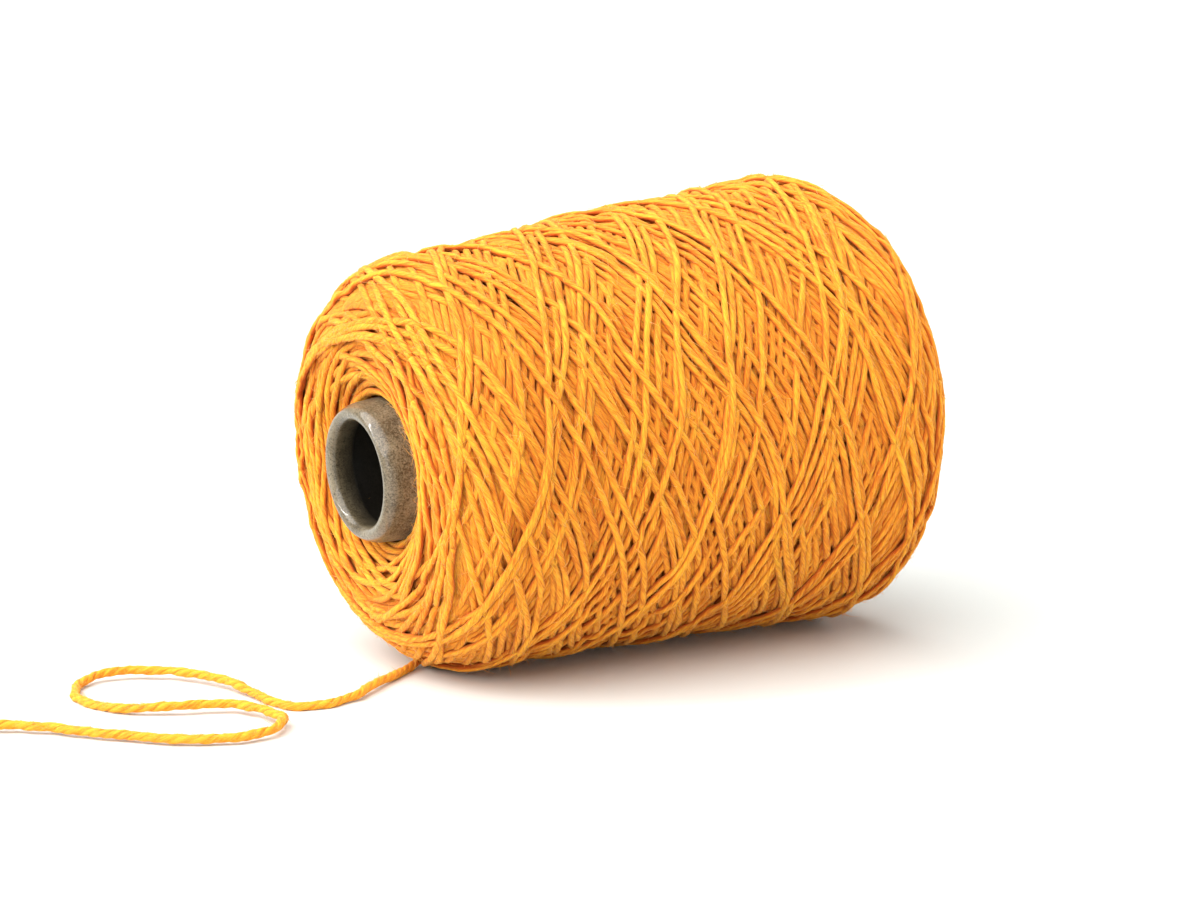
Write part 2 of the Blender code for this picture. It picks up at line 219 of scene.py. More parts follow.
class Winding:
    """The yarn laid so far: every turn's path and height, and on a grid the height of the winding over
    its outline and the level all round. Once wound, also its crest and how many turns were laid."""

    def __init__(self):
        self.top = np.zeros(outline.cells * COLUMNS)
        self.level = np.zeros(outline.cells * COLUMNS)
        self.turns = []

    def surface(self, width, reach=0):
        """The height of the winding all round: its mean profile, and the mean over a width of what
        stands over that, or of the most of it within a reach in cells."""
        grid = self.top.reshape(outline.cells, COLUMNS)
        profile = box_smooth(grid.mean(1), PROFILE_WIDTH / CELL)[:, None]
        over = grid - profile
        if reach:
            over = most_near(most_near(over, reach).T, reach, "wrap").T
        return (profile + grid_smooth(over, width)).ravel()

    def cells(self, s, angle):
        """The numbers of the grid's cells at places."""
        row = np.clip(np.rint(s / outline.cell), 0, outline.cells - 1).astype(int)
        return row * COLUMNS + np.rint(angle * (COLUMNS / TAU)).astype(int) % COLUMNS

    def beside(self, s, angle, run_s, run_a, radius, offsets):
        """The cells beside a path, one row for each offset."""
        offsets = offsets[:, None]
        return self.cells(s + offsets * run_a, angle - offsets * run_s / radius)

    def add(self, s, angle, height):
        """Adds a strand at a height of its own, under what is laid."""
        run_s, run_a, step = heading(s, angle, outline.at(outline.radius, s))
        self.turns.append(Turn(s, angle, height, run_s, run_a, step.mean(), np.zeros(len(s))))

    def lay(self, s, angle, tuck=0.0, grip=0.07, joins=None):
        """Lays one strand along a path: it slips sideways into a groove, as far as its grip lets it,
        bends over what lies below, and raises the grid under it. Over the length tuck at each end it
        dives under the surface. One that joins another starts from the end of that one instead."""
        radius = outline.at(outline.radius, s)
        run_s, run_a, step = heading(s, angle, radius)
        pace = step.mean()
        felt = self.top[self.beside(s, angle, run_s, run_a, radius, FEELERS)]
        bed = BEDDING * HALF_HEIGHT * ROUND
        seat = np.array([(felt[slip:slip + len(OFFSETS)] + bed).max(0) for slip in SLIPS])
        seat = box_smooth(seat, CHOICE_LENGTH / pace)
        slips = (SLIPS - SLIP)[:, None] * BESIDE
        weight = np.exp(-(seat - seat.min(0) + grip * slips ** 2) / CHOOSY)
        slip = box_smooth((weight * slips).sum(0) / weight.sum(0), SLIP_LENGTH / pace)
        s = np.clip(s + slip * run_a, EDGE, outline.length - EDGE)
        angle = angle - slip * run_s / radius
        x = np.cumsum(step)
        joined = np.exp(-(x - x[0]) / JOIN)
        if joins:
            s = s + (joins.s[-1] - s[0]) * joined
            angle = angle + (joins.angle[-1] - angle[0]) * joined

        spots = self.beside(s, angle, run_s, run_a, radius, OFFSETS)
        support = (self.top[spots] + bed).max(0)
        soft = box_smooth(support, BEND / pace)
        peaks = box_smooth(box_most(support, BRIDGE / pace), BEND / pace)
        height = box_smooth(soft + STIFF * (peaks - soft), LAST_BEND / pace)
        around = self.level[self.cells(s, angle)]
        height = around + PROUD * np.tanh((height - around) / PROUD)
        if joins:
            height = height + (joins.height[-1] - height[0]) * joined
        end = x[-1] - x if joins else np.minimum(x, x[-1] - x)
        dive = np.clip(1 - end / tuck, 0, 1) ** 2 if tuck else np.zeros_like(x)
        height = height - DIVE * dive
        raising = dive < SHUT
        own = height + HALF_HEIGHT * ROUND
        np.maximum.at(self.top, spots[:, raising].ravel(), own[:, raising].ravel())
        self.turns.append(Turn(s, angle, height, run_s, run_a, pace, dive))
        return self.turns[-1]


def wave(random, x, shortest, longest, count=4):
    """A smooth random line of unit size: a few sines with wavelengths between two lengths."""
    lengths = np.exp(random.uniform(math.log(shortest), math.log(longest), count))
    phases = random.uniform(0, TAU, count)
    return sum(np.sin(TAU * x / l + p) for l, p in zip(lengths, phases)) / math.sqrt(count / 2)


# ---- the end faces
# Where the turn-rounds on an end face are innermost, in degrees from the top. Notches show half way
# between, where those of one side go under the other's.
TURN_ROUNDS = (-84, 92)
FACE_REACH = (34.0, 31.0)  # how far out from the core they begin
FACE_END = 40.0  # how far up the outline they end
HALF_TURN = 3.3  # the most that one turns to each side
# The layers of turn-rounds: outward from one pair to the next, drift of their angles in degrees,
# how steeply they leave the face, and their grip.
FACE_LAYERS = ((2.2, 14.0, 1.0, 0.07), (2.1, 8.0, 1.1, 0.3))
FACE_SLOPE, FACE_BEND = (11, 17), (0.35, 0.6)  # mm outward for each radian, and radians of the rounding
CALM = 14  # nearer the core than this they leave less steeply
WOBBLE = 0.35  # of a turn on an end face, to each side
COLLARS = 3  # turns that hug the core on top of them
COLLAR_PITCH = 0.45


def turned_arc(random, turn_s, centre, slope, bend):
    """One turn-round on an end face: from its innermost place it moves outward both ways as
    slope * bend * (sqrt(1 + (angle / bend)^2) - 1), a hyperbola, until it is under the slant's turns."""
    near = turn_s < outline.length / 2
    away = FACE_END - (turn_s if near else outline.length - turn_s)
    half_turn = min(HALF_TURN, bend * math.sqrt((1 + max(1.0, away) / (slope * bend)) ** 2 - 1))
    radius0 = outline.at(outline.radius, turn_s)
    psi = np.linspace(-half_turn, half_turn, max(12, int(2 * half_turn * (radius0 + 12) / STEP)))
    s = turn_s + (1 if near else -1) * slope * bend * (np.sqrt(1 + (psi / bend) ** 2) - 1)
    s = s + WOBBLE * wave(random, psi * radius0, 18, 60)
    return np.clip(s, EDGE, outline.length - EDGE), centre + psi


def wind_faces(winding, random):
    """The turn-rounds of the buried layers on both end faces, from the core outward."""
    for near, reach in zip((True, False), FACE_REACH):
        for pitch, spread, steep, grip in FACE_LAYERS:
            rows = int(reach / pitch)
            drift = wave(random, np.arange(rows) * pitch, 9, 40) * spread
            for k in range(rows):
                for centre in TURN_ROUNDS:
                    deep = max(EDGE, 1.0 + k * pitch + random.normal(0, 0.5))
                    turn_s = deep if near else outline.length - deep
                    middle = math.radians(centre + drift[k] + random.normal(0, 5))
                    slope = steep * random.uniform(*FACE_SLOPE) * min(1.0, 0.25 + deep / CALM)
                    s, angle = turned_arc(random, turn_s, middle, slope, random.uniform(*FACE_BEND))
                    winding.lay(s, angle, TUCK, grip)
                if k % 3 == 0:
                    winding.level = winding.surface(LEVEL_WIDTH)
        for k in range(COLLARS):
            psi = random.uniform(0, TAU) + np.linspace(0, TAU * 0.96, 420)
            s = 1.0 + COLLAR_PITCH * k + WOBBLE * wave(random, psi * 22, 15, 50)
            winding.lay(s if near else outline.length - s, psi, tuck=TUCK)


# ---- the slant
NEAR_LEAD, FAR_LEAD = 0.80, 0.42  # angle over which a helix bends into its turn-round
MEAN_RADIUS = 62
PASSES = 210  # to the far end and back
FULL_PASS = TAU * 2.6  # angle of one of them
COMES_BACK = 5  # passes after which one lies beside an earlier one again
# How far it lies beside that one, in degrees, and how often.
SHIFTS, SHIFT_SHARES = (5.0, 5.7, 6.5, 8.5), (0.3, 0.35, 0.2, 0.15)
# Where the passes turn round: from each end of the outline, and the scatter of that and the most of it.
NEAR_TURNS, FAR_TURNS = 32.0, 33.0
NEAR_SCATTER, FAR_SCATTER = (6.0, 11), (3.0, 6)
CALM_END = 34.0  # up to here the passes hardly stray or bend
STRAYING = 0.10  # share of the passes
SCATTER, STRAY_SCATTER = 0.03, 0.6  # of the angle where one turns round
WAVER, STRAY_WAVER = 0.35, 1.95  # of a pass, to each side
# Long waves that bend the ribbons: mm to each side, waves round the cone, mm along for each radian.
WARPS = ((1.2, 3, 19), (0.9, 5, -23), (0.35, 8, 14), (0.5, 2, -12))
BED_STEP = 0.5
BED_ENDS = (30.0, 27.0)  # of its crossing strands, from each end of the outline
BED_FACES = (42.0, 38.0)  # how far its rounds on the end faces go from there
BED_TURN = 1.3  # turns of a strand of the bed from end to end
BED_BESIDE = YARN_WIDTH / 0.31 / 66  # angle between two, side by side at that slope
BED_DEPTH = 3.5  # of the bed's middle under the crest of the winding
BED_SWELL = 0.80  # how far its two ways part above and below that


def traverse(start, end, start_s, end_s, step):
    """One pass over the slant, from a turn-round at one end to the next at the other: the slope of
    its helix is even between them and fades to nothing at each, as tanh of the angle turned."""
    lead, trail = (NEAR_LEAD, FAR_LEAD) if start_s < end_s else (FAR_LEAD, NEAR_LEAD)
    angle = np.linspace(start, end, int((end - start) * MEAN_RADIUS / step))
    climb = np.cumsum(np.tanh((angle - start) / lead) * np.tanh((end - angle) / trail))
    return start_s + (end_s - start_s) * climb / climb[-1], angle


def wind_slant(winding, random):
    """The last layers over the slant, back and forth in ribbons of turns side by side, all one strand
    that is tucked in at its end."""
    phase = random.uniform(0, TAU, 8)
    shifts = np.radians(random.choice(SHIFTS, PASSES + 1, p=SHIFT_SHARES)) / COMES_BACK
    begins = np.arange(PASSES + 1) * FULL_PASS + np.cumsum(shifts) + random.normal(0, SCATTER, PASSES + 1)

    def scattered(count, scatter, most):
        return np.clip(random.normal(0, scatter, count), -most, most)

    far_s = outline.length - FAR_TURNS
    here_s = NEAR_TURNS + scattered(PASSES + 1, *NEAR_SCATTER)
    there_s = far_s + scattered(PASSES, *FAR_SCATTER)
    last = None
    for k in range(PASSES):
        strays = random.uniform() < STRAYING
        turn = begins[k] + FULL_PASS / 2 + random.normal(0, STRAY_SCATTER if strays else SCATTER)
        for start, end, start_s, end_s in ((begins[k], turn, here_s[k], there_s[k]),
                                           (turn, begins[k + 1], there_s[k], here_s[k + 1])):
            s, angle = traverse(start, end, start_s, end_s, STEP)
            inner = np.sqrt(np.sin(np.clip((s - CALM_END) / (far_s - CALM_END), 0.002, 0.998) * math.pi))
            bent = sum(size * np.sin(waves * angle + s / length + p)
                       for (size, waves, length), p in zip(WARPS, phase))
            own = (STRAY_WAVER if strays else WAVER) * wave(random, np.arange(len(s)) * STEP, 60, 220)
            ends = k == PASSES - 1 and end > turn
            last = winding.lay(s + (bent + own) * inner, angle, tuck=TUCK if ends else 0.0, joins=last)
        if k % 3 == 0:
            winding.level = winding.surface(LEVEL_WIDTH)


def add_bed(winding):
    """The layer below, that shows through the gaps: turns side by side both ways over the slant, parted
    into diamonds where they cross, and round and round on the end faces."""
    crest = winding.crest = winding.surface(CREST_WIDTH, CREST_REACH)
    winding.laid = len(winding.turns)
    near, far = BED_ENDS
    for way in (1, -1):
        for begin in np.arange(0, TAU, BED_BESIDE):
            s, angle = traverse(begin, begin + TAU * BED_TURN, near, outline.length - far, BED_STEP)
            angle = way * angle
            swell = np.tanh(4 * np.sin(s / 9 + angle) * np.sin(5 * angle + s / 21))
            winding.add(s, angle, crest[winding.cells(s, angle)] - BED_DEPTH + way * BED_SWELL * swell)
    near, far = BED_FACES
    for start, end in ((1.5, near), (outline.length - 1.5, outline.length - far)):
        rounds = abs(end - start) / (YARN_WIDTH * 0.92)
        angle = np.linspace(0, rounds * TAU, int(rounds * TAU * 45 / BED_STEP))
        s = np.linspace(start, end, len(angle)) + 0.5 * np.sin(3.3 * angle)
        winding.add(s, angle, crest[winding.cells(s, angle)] - BED_DEPTH)


def wind():
    """The whole winding: the end faces, the slant over them, and the bed below."""
    winding = Winding()
    random = np.random.RandomState(SEED)
    wind_faces(winding, random)
    wind_slant(winding, random)
    add_bed(winding)
    return winding


# ---- from the winding to the frame
START = np.array([-83.4403, 0.0, NEAR_RADIUS * math.cos(TILT) - PRESSED])
AXIS = np.array([math.cos(TILT), 0.0, math.sin(TILT)])
UP = np.array([-math.sin(TILT), 0.0, math.cos(TILT)])
ACROSS = np.array([0.0, 1.0, 0.0])


def radial(angle):
    """The direction away from the axis at an angle: up * cos(angle) + across * sin(angle)."""
    return UP * np.cos(angle)[..., None] + ACROSS * np.sin(angle)[..., None]


def on_cone(along, radius, angle):
    """The point in the frame at a place on the cone, in mm."""
    return START + AXIS * along[..., None] + radial(angle) * radius[..., None]


def hollow_depth(along, angle):
    """How far the uneven winding lies inside its even outline: bell curves in along and in angle."""
    degrees = np.degrees(angle)
    return sum(deep * np.exp(-((along - middle) / half_length) ** 2
                             - (((degrees - turn + 180) % 360 - 180) / half_angle) ** 2)
               for middle, turn, half_length, half_angle, deep in HOLLOWS)


# ---- the stretches that show
HIDDEN_BY = 0.30  # a turn this far under its neighbours is left out
RUN_ON = 4.5  # how far a stretch runs on under them at each end
SHORT_GAP = 1.5  # a gap or a glimpse about this long isn't counted
SHORTEST = 2  # a stretch that shows over less is left out


def shown_stretches(winding, numbers, ring_pitch):
    """The stretches of some turns that show, each as columns of s, angle, height, length along the
    turn and its number, read again at rings an even step apart."""
    stretches = []
    for number in numbers:
        s, angle, height, run_s, run_a, pace, dive = winding.turns[number]
        spots = winding.beside(s, angle, run_s, run_a, outline.at(outline.radius, s), OFFSETS)
        own = height + HALF_HEIGHT * ROUND
        seen = (own >= winding.top[spots] - HIDDEN_BY).any(0)
        seen = box_smooth(seen.astype(float), SHORT_GAP / pace) > 0.5
        seen = box_most(seen, 2 * RUN_ON / pace)
        ends = dive > 0
        seen |= ends & box_most(seen & ends, 2 * TUCK / pace)
        edges = np.flatnonzero(np.diff(seen.astype(int), prepend=0, append=0))
        for first, last in edges.reshape(-1, 2):
            length = (last - first) * pace
            if length < 2 * RUN_ON + SHORTEST:
                continue
            at = np.linspace(first, last - 1, max(4, int(round(length / ring_pitch))))
            read = [np.interp(at, np.arange(len(s)), table) for table in (s, angle, height)]
            stretches.append(np.column_stack([*read, at * pace, np.full(len(at), number)]))
    return stretches


# ---- meshes
def put_mesh(mesh, finish):
    """Puts a mesh into the scene as a smooth object of its name."""
    mesh.shade_smooth()
    mesh.materials.append(finish)
    piece = bpy.data.objects.new(mesh.name, mesh)
    bpy.context.scene.collection.objects.link(piece)
    return piece


def add_piece(name, points, faces, finish, node, uv=None, values=()):
    """Puts a mesh given as arrays, in mm, into the scene as a named smooth piece on the cone's body.
    faces is a list of arrays, each of faces with the same number of corners."""
    mesh = bpy.data.meshes.new(name)
    mesh.vertices.add(points.size // 3)
    mesh.vertices.foreach_set("co", (points * MM).astype(np.float32).ravel())
    corners = np.concatenate([group.ravel() for group in faces]).astype(np.int32)
    sizes = np.concatenate([np.full(len(group), group.shape[1]) for group in faces])
    mesh.loops.add(len(corners))
    mesh.loops.foreach_set("vertex_index", corners)
    mesh.polygons.add(len(sizes))
    mesh.polygons.foreach_set("loop_start", (np.cumsum(sizes) - sizes).astype(np.int32))
    mesh.update(calc_edges=True)
    if uv is not None:
        layer = mesh.uv_layers.new(name="along_and_round")
        layer.data.foreach_set("uv", uv.astype(np.float32).ravel())
    for title, value in values:
        layer = mesh.attributes.new(title, "FLOAT", "POINT")
        layer.data.foreach_set("value", np.asarray(value, np.float32))
    piece = put_mesh(mesh, finish)
    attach(piece, "root")
    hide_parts(node)
    return piece


def quads_between(rings, nexts, sides):
    """The quads between rings and the next ones, given as their numbers. Points run round each ring."""
    here, there = rings[:, None] * sides, nexts[:, None] * sides
    side = np.arange(sides)
    after = (side + 1) % sides
    return np.stack([here + side, here + after, there + after, there + side], -1).reshape(-1, 4)


def tube_faces(lengths, ring_counts, sides):
    """Faces and texture corners of closed tubes, from the length along the tube at each ring and the
    number of rings in each tube: quads between neighbouring rings, and one flat face on each end. The
    texture's u is the length and its v the share of the way round."""
    last = np.cumsum(ring_counts) - 1
    first = last + 1 - ring_counts
    rings = np.setdiff1d(np.arange(len(lengths)), last)
    side = np.arange(sides)
    faces = [quads_between(rings, rings + 1, sides), first[:, None] * sides + side[::-1],
             last[:, None] * sides + side]
    ring, share = np.divmod(faces[0], sides)
    share[:, 1:3] = share[:, :1] + 1
    uv = [np.stack([lengths[ring], share / sides], -1)]
    uv += [np.stack([lengths[cap // sides], np.full(cap.shape, 0.5)], -1) for cap in faces[1:]]
    return faces, np.concatenate([corners.reshape(-1, 2) for corners in uv])


def ring_points(middle, one, two, across, out):
    """Rings of points round the places of a path: middle + one * across + two * out, where across and
    out are sizes for each place and each point of its ring."""
    return middle[:, None] + one[:, None] * across[..., None] + two[:, None] * out[..., None]


PIECE_TRIANGLES = 180_000  # about the most in one piece
THICK_WAVES = ((0.05, 23.0), (0.055, 9.0), (0.03, 57.0))  # shares and lengths of thick and thin places
ROUGH = 0.08  # unevenness of a strand's skin, as a share of its size
FLATTER = 0.8  # height of a turn's lower half, as a share
TURN_SIDES, TURN_RING_PITCH = 7, 2.2
BED_SIDES, BED_RING_PITCH = 5, 4.0
HOLLOW_FADE = 12  # over which the hollows fade out toward the core
FLOOR_GIVE = 0.3  # how softly the turns flatten on the floor
DEEP = 3.0  # under the crest, where a turn is wholly in the others' shade
HAIRY = 0.45  # share of that down to which fibres show


def add_strands(name, winding, stretches, sides, finish, tones, phases):
    """One piece of turns, each a closed tube whose section is an ellipse, w cos t across and h sin t
    out, with its lower half flatter, carried along the turn at its height over the outline. Returns
    places on the strands that show, with the directions out and along, for the fuzz."""
    counts = [len(rows) for rows in stretches]
    s, angle, height, length, number = np.concatenate(stretches).T
    number = number.astype(int)
    sunk = height - winding.crest[winding.cells(s, angle)]
    along = outline.at(outline.along, s)
    fade = np.minimum(1, s / HOLLOW_FADE)
    lift = sunk - hollow_depth(along, angle) * fade * np.minimum(1, (outline.length - s) / HOLLOW_FADE)
    out_along, out_radius = outline.at(outline.out_along, s), outline.at(outline.out_radius, s)
    middle = on_cone(along + out_along * lift, outline.at(outline.radius, s) + out_radius * lift, angle)
    low = 0.9 * HALF_HEIGHT
    middle[:, 2] = low + FLOOR_GIVE * np.logaddexp(0, (middle[:, 2] - low) / FLOOR_GIVE)
    each_turn = np.split(middle, np.cumsum(counts)[:-1])
    run = unit(np.concatenate([np.gradient(places, axis=0) for places in each_turn]))
    out = AXIS * out_along[:, None] + radial(angle) * out_radius[:, None]
    across = unit(np.cross(out, run))
    out = np.cross(run, across)
    swell = 1 + sum(share * np.sin(TAU * length / each + phases[number, i])
                    for i, (share, each) in enumerate(THICK_WAVES))
    turn = (np.arange(sides) / sides - 0.25) * TAU
    rise = np.where(np.sin(turn) > 0, np.sin(turn), FLATTER * np.sin(turn))
    swell = swell[:, None] + np.random.RandomState(SEED + len(s)).uniform(-ROUGH, ROUGH, (len(s), sides))
    points = ring_points(middle, across, out, YARN_WIDTH / 2 * np.cos(turn) * swell,
                         HALF_HEIGHT * rise * swell)
    points[..., 2] = np.maximum(points[..., 2], 0.03)
    faces, uv = tube_faces(length, counts, sides)
    # How far a turn lies under the crest, for the painted shade of buried turns in the finish and for where
    # fibres show.
    depth = np.clip(-(sunk + HALF_HEIGHT) / DEEP, 0, 1)
    add_piece(name, points, faces, finish, "wound_yarn", uv,
              [("tone", tones[number].repeat(sides)), ("depth", depth.repeat(sides))])
    shows = (depth < HAIRY) & (middle[:, 2] > 3)
    return (middle + out * (HALF_HEIGHT * 0.6))[shows], out[shows], run[shows]


def add_turns(winding, finish):
    """All the turns that show, in pieces of about even size: those laid last, and the bed under them."""
    random = np.random.RandomState(SEED + 2)
    tones = random.uniform(-1, 1, len(winding.turns))
    phases = random.uniform(0, TAU, (len(winding.turns), len(THICK_WAVES)))
    kinds = (("turns", range(winding.laid), TURN_SIDES, TURN_RING_PITCH),
             ("turns_below", range(winding.laid, len(winding.turns)), BED_SIDES, BED_RING_PITCH))
    seen = []
    for kind, numbers, sides, ring_pitch in kinds:
        stretches = shown_stretches(winding, numbers, ring_pitch)
        grown = np.cumsum([len(rows) * 2 * sides for rows in stretches])
        pieces = math.ceil(grown[-1] / PIECE_TRIANGLES)
        piece_of = np.minimum((grown - 1) * pieces // grown[-1], pieces - 1)
        for piece in range(pieces):
            chosen = [rows for rows, own in zip(stretches, piece_of) if own == piece]
            seen.append(add_strands(f"{kind}_{piece + 1:02d}", winding, chosen, sides, finish, tones, phases))
    return [np.concatenate(rows) for rows in zip(*seen)]


FUZZ_SIDES, FUZZ_RINGS = 3, 2
FUZZ_THICK = 0.075  # half the thickness of a fibre, at its foot
FUZZ_FIBRES, TAIL_FIBRES = 17000, 3000


def add_fuzz(name, feet, out, run, count, long, finish, node):
    """Loose fibres: each a fine closed spike of two rings and a tip that leaves the yarn partly along
    it and partly outward, and bends over as the square of the way along it."""
    random = np.random.RandomState(SEED + count)
    pick = random.randint(0, len(feet), count)
    foot, out, run = feet[pick], out[pick], run[pick]
    side = np.cross(out, run)
    length = (random.gamma(3.0, 0.6, count)[:, None] + 0.6) * long

    def either_way(spread):
        return side * random.normal(0, spread, (count, 1))

    onward = run * (random.choice([-1, 1], (count, 1)) * random.uniform(0.4, 1.2, (count, 1)))
    lean = unit(out * random.uniform(0.15, 0.8, (count, 1)) + onward + either_way(0.45))
    droop = unit(onward - out * random.uniform(0.0, 0.5, (count, 1)) + either_way(0.9))
    share = np.array([[0.0], [0.5], [1.0]])
    spine = (foot[:, None] - out[:, None] * 0.15 + lean[:, None] * (length[:, None] * share)
             + droop[:, None] * (length[:, None] * 0.45 * share ** 2))
    one = unit(np.cross(lean, droop) + 1e-6)
    two = unit(np.cross(lean, one))
    turn = np.arange(FUZZ_SIDES)[:, None] * TAU / FUZZ_SIDES
    ring = one[:, None] * np.cos(turn) + two[:, None] * np.sin(turn)
    thick = FUZZ_THICK * (1 - 0.3 * np.arange(FUZZ_RINGS)[:, None, None])
    points = spine[:, :FUZZ_RINGS, None] + ring[:, None] * thick
    points = np.concatenate([points.reshape(count, -1, 3), spine[:, -1:]], 1)
    points[..., 2] = np.maximum(points[..., 2], 0.02)
    quads = quads_between(np.array([0]), np.array([1]), FUZZ_SIDES)
    tips = np.column_stack([quads[:, 3], quads[:, 2], np.full(FUZZ_SIDES, 2 * FUZZ_SIDES)])
    tips = np.vstack([tips, quads[::-1, 0]])
    first = np.arange(count)[:, None, None] * (FUZZ_SIDES * FUZZ_RINGS + 1)
    faces = [(first + quads).reshape(-1, 4), (first + tips).reshape(-1, 3)]
    return add_piece(name, points, faces, finish, node)


def revolved_faces(rings, segments):
    """Quads of a surface that is closed both ways, between neighbouring rings of points."""
    numbers = np.arange(rings)
    return quads_between(numbers, (numbers + 1) % rings, segments)


UNDER_DEPTH = 4.1  # of the buried surface under the winding's outline
UNDER_ROWS, UNDER_SEGMENTS = 4, 96  # cells from one row of it to the next, and points round it


def add_under_yarn(finish):
    """The buried yarn that shows deep between the turns, darker than the yarn as painted shade: the outline
    sunk by an even depth, less at the core, turned about the axis and closed along the core."""
    pick = np.arange(UNDER_ROWS, outline.cells - UNDER_ROWS, UNDER_ROWS)[:, None]
    angle = np.arange(UNDER_SEGMENTS) * TAU / UNDER_SEGMENTS
    deep = UNDER_DEPTH + hollow_depth(outline.along[pick], angle)
    along = outline.along[pick] - outline.out_along[pick] * deep
    radius = np.maximum(outline.radius[pick] - outline.out_radius[pick] * deep, core_radius(along) + 0.35)
    points = on_cone(along, radius, angle)
    points[..., 2] = np.maximum(points[..., 2], 0.5)
    faces = revolved_faces(len(pick), UNDER_SEGMENTS)[:, [0, 3, 2, 1]]
    return add_piece("under_yarn", points, [faces], finish, "wound_yarn")


ROLL_LENGTH = 5.0  # of the nose's outer rounding, along the cone
CORE_SEGMENTS = 128


def add_core(finish):
    """The card core: its closed section turned about the axis, from the base down its outer side to the
    nose, over the rolled lip and back up the bore. The lip is a long quarter of an ellipse outside, and a
    quarter circle inside."""
    nose = -NOSE_STANDS_OUT
    base = nose + CORE_LENGTH
    crest = CORE_NOSE_RADIUS - NOSE_LIP_RADIUS
    bore = crest - NOSE_LIP_RADIUS + NOSE_LIP_TAPER
    lip_end = nose + NOSE_LIP_REACH
    turn = np.linspace(0, math.pi / 2, 18)
    outer = np.linspace(base - 0.5, nose + ROLL_LENGTH + 2, 20)
    rolled = nose + ROLL_LENGTH * (1 - np.sin(turn))
    inner = np.linspace(lip_end + NOSE_LIP_STEP, base - 0.5, 20)
    along = np.concatenate([[base], outer, rolled, nose + NOSE_LIP_RADIUS * (1 - np.cos(turn[1:])),
                            [lip_end - 0.6, lip_end + 0.2], inner, [base]])
    radius = np.concatenate([[core_radius(base) - 0.5], core_radius(outer),
                             crest + (core_radius(rolled) - crest) * np.cos(turn),
                             crest - NOSE_LIP_RADIUS * np.sin(turn[1:]), [bore, bore + 0.25],
                             core_radius(inner) - CORE_WALL, [core_radius(base) - CORE_WALL + 0.5]])
    points = on_cone(along[:, None], radius[:, None], np.arange(CORE_SEGMENTS) * TAU / CORE_SEGMENTS)
    faces = np.roll(revolved_faces(len(along), CORE_SEGMENTS), -1, axis=1)
    return add_piece("card_cone", points, [faces], finish, "core")


# ---- loose end
PLIES = 3
PLY_PITCH = 11.5  # for one whole turn of a ply in the loose end
WOUND_PITCH = 20.0  # the same in the wound yarn, drawn straighter
PLY_GROOVE = 0.22  # depth of the grooves between the plies, as a share
PUFF = 1.18  # of the plies' crests against the plain cord
TAIL_SIDES = 28
TAIL_RING_PITCH = 0.5
# The loose end's way on into the winding, from deep in it to the route's first point: x, y, z.
TAIL_ROOT = ((-52.0, 13.0, 5.2), (-57.0, 9.2, 3.6), (-63.0, 4.6, 1.9))
SPRING = 1.5  # the most that it springs off the floor
EASE = 45  # length over which that and its kinks begin
KINK = 0.24  # to each side
TAIL_PAINTED_LIGHT = 2.2  # painted light: the same yarn as the wound turns, painted paler as it lies lit on the floor


def smooth_route(route, step):
    """A Catmull-Rom curve through the route's points, read again at points an even step apart."""
    given = np.array(route)
    ends = np.vstack([2 * given[0] - given[1], given, 2 * given[-1] - given[-2]])
    share = np.linspace(0, 1, 24, endpoint=False)[:, None]
    before, start, end, after = (ends[i:len(given) + i - 1, None] for i in range(4))
    fine = 0.5 * (2 * start + (end - before) * share
                  + (2 * before - 5 * start + 4 * end - after) * share ** 2
                  + (3 * start - before - 3 * end + after) * share ** 3)
    fine = np.vstack([fine.reshape(-1, 2), given[-1:]])
    arc = arc_of(fine)
    at = np.linspace(0, arc[-1], round(arc[-1] / step) + 1)
    return np.column_stack([np.interp(at, arc, column) for column in fine.T])


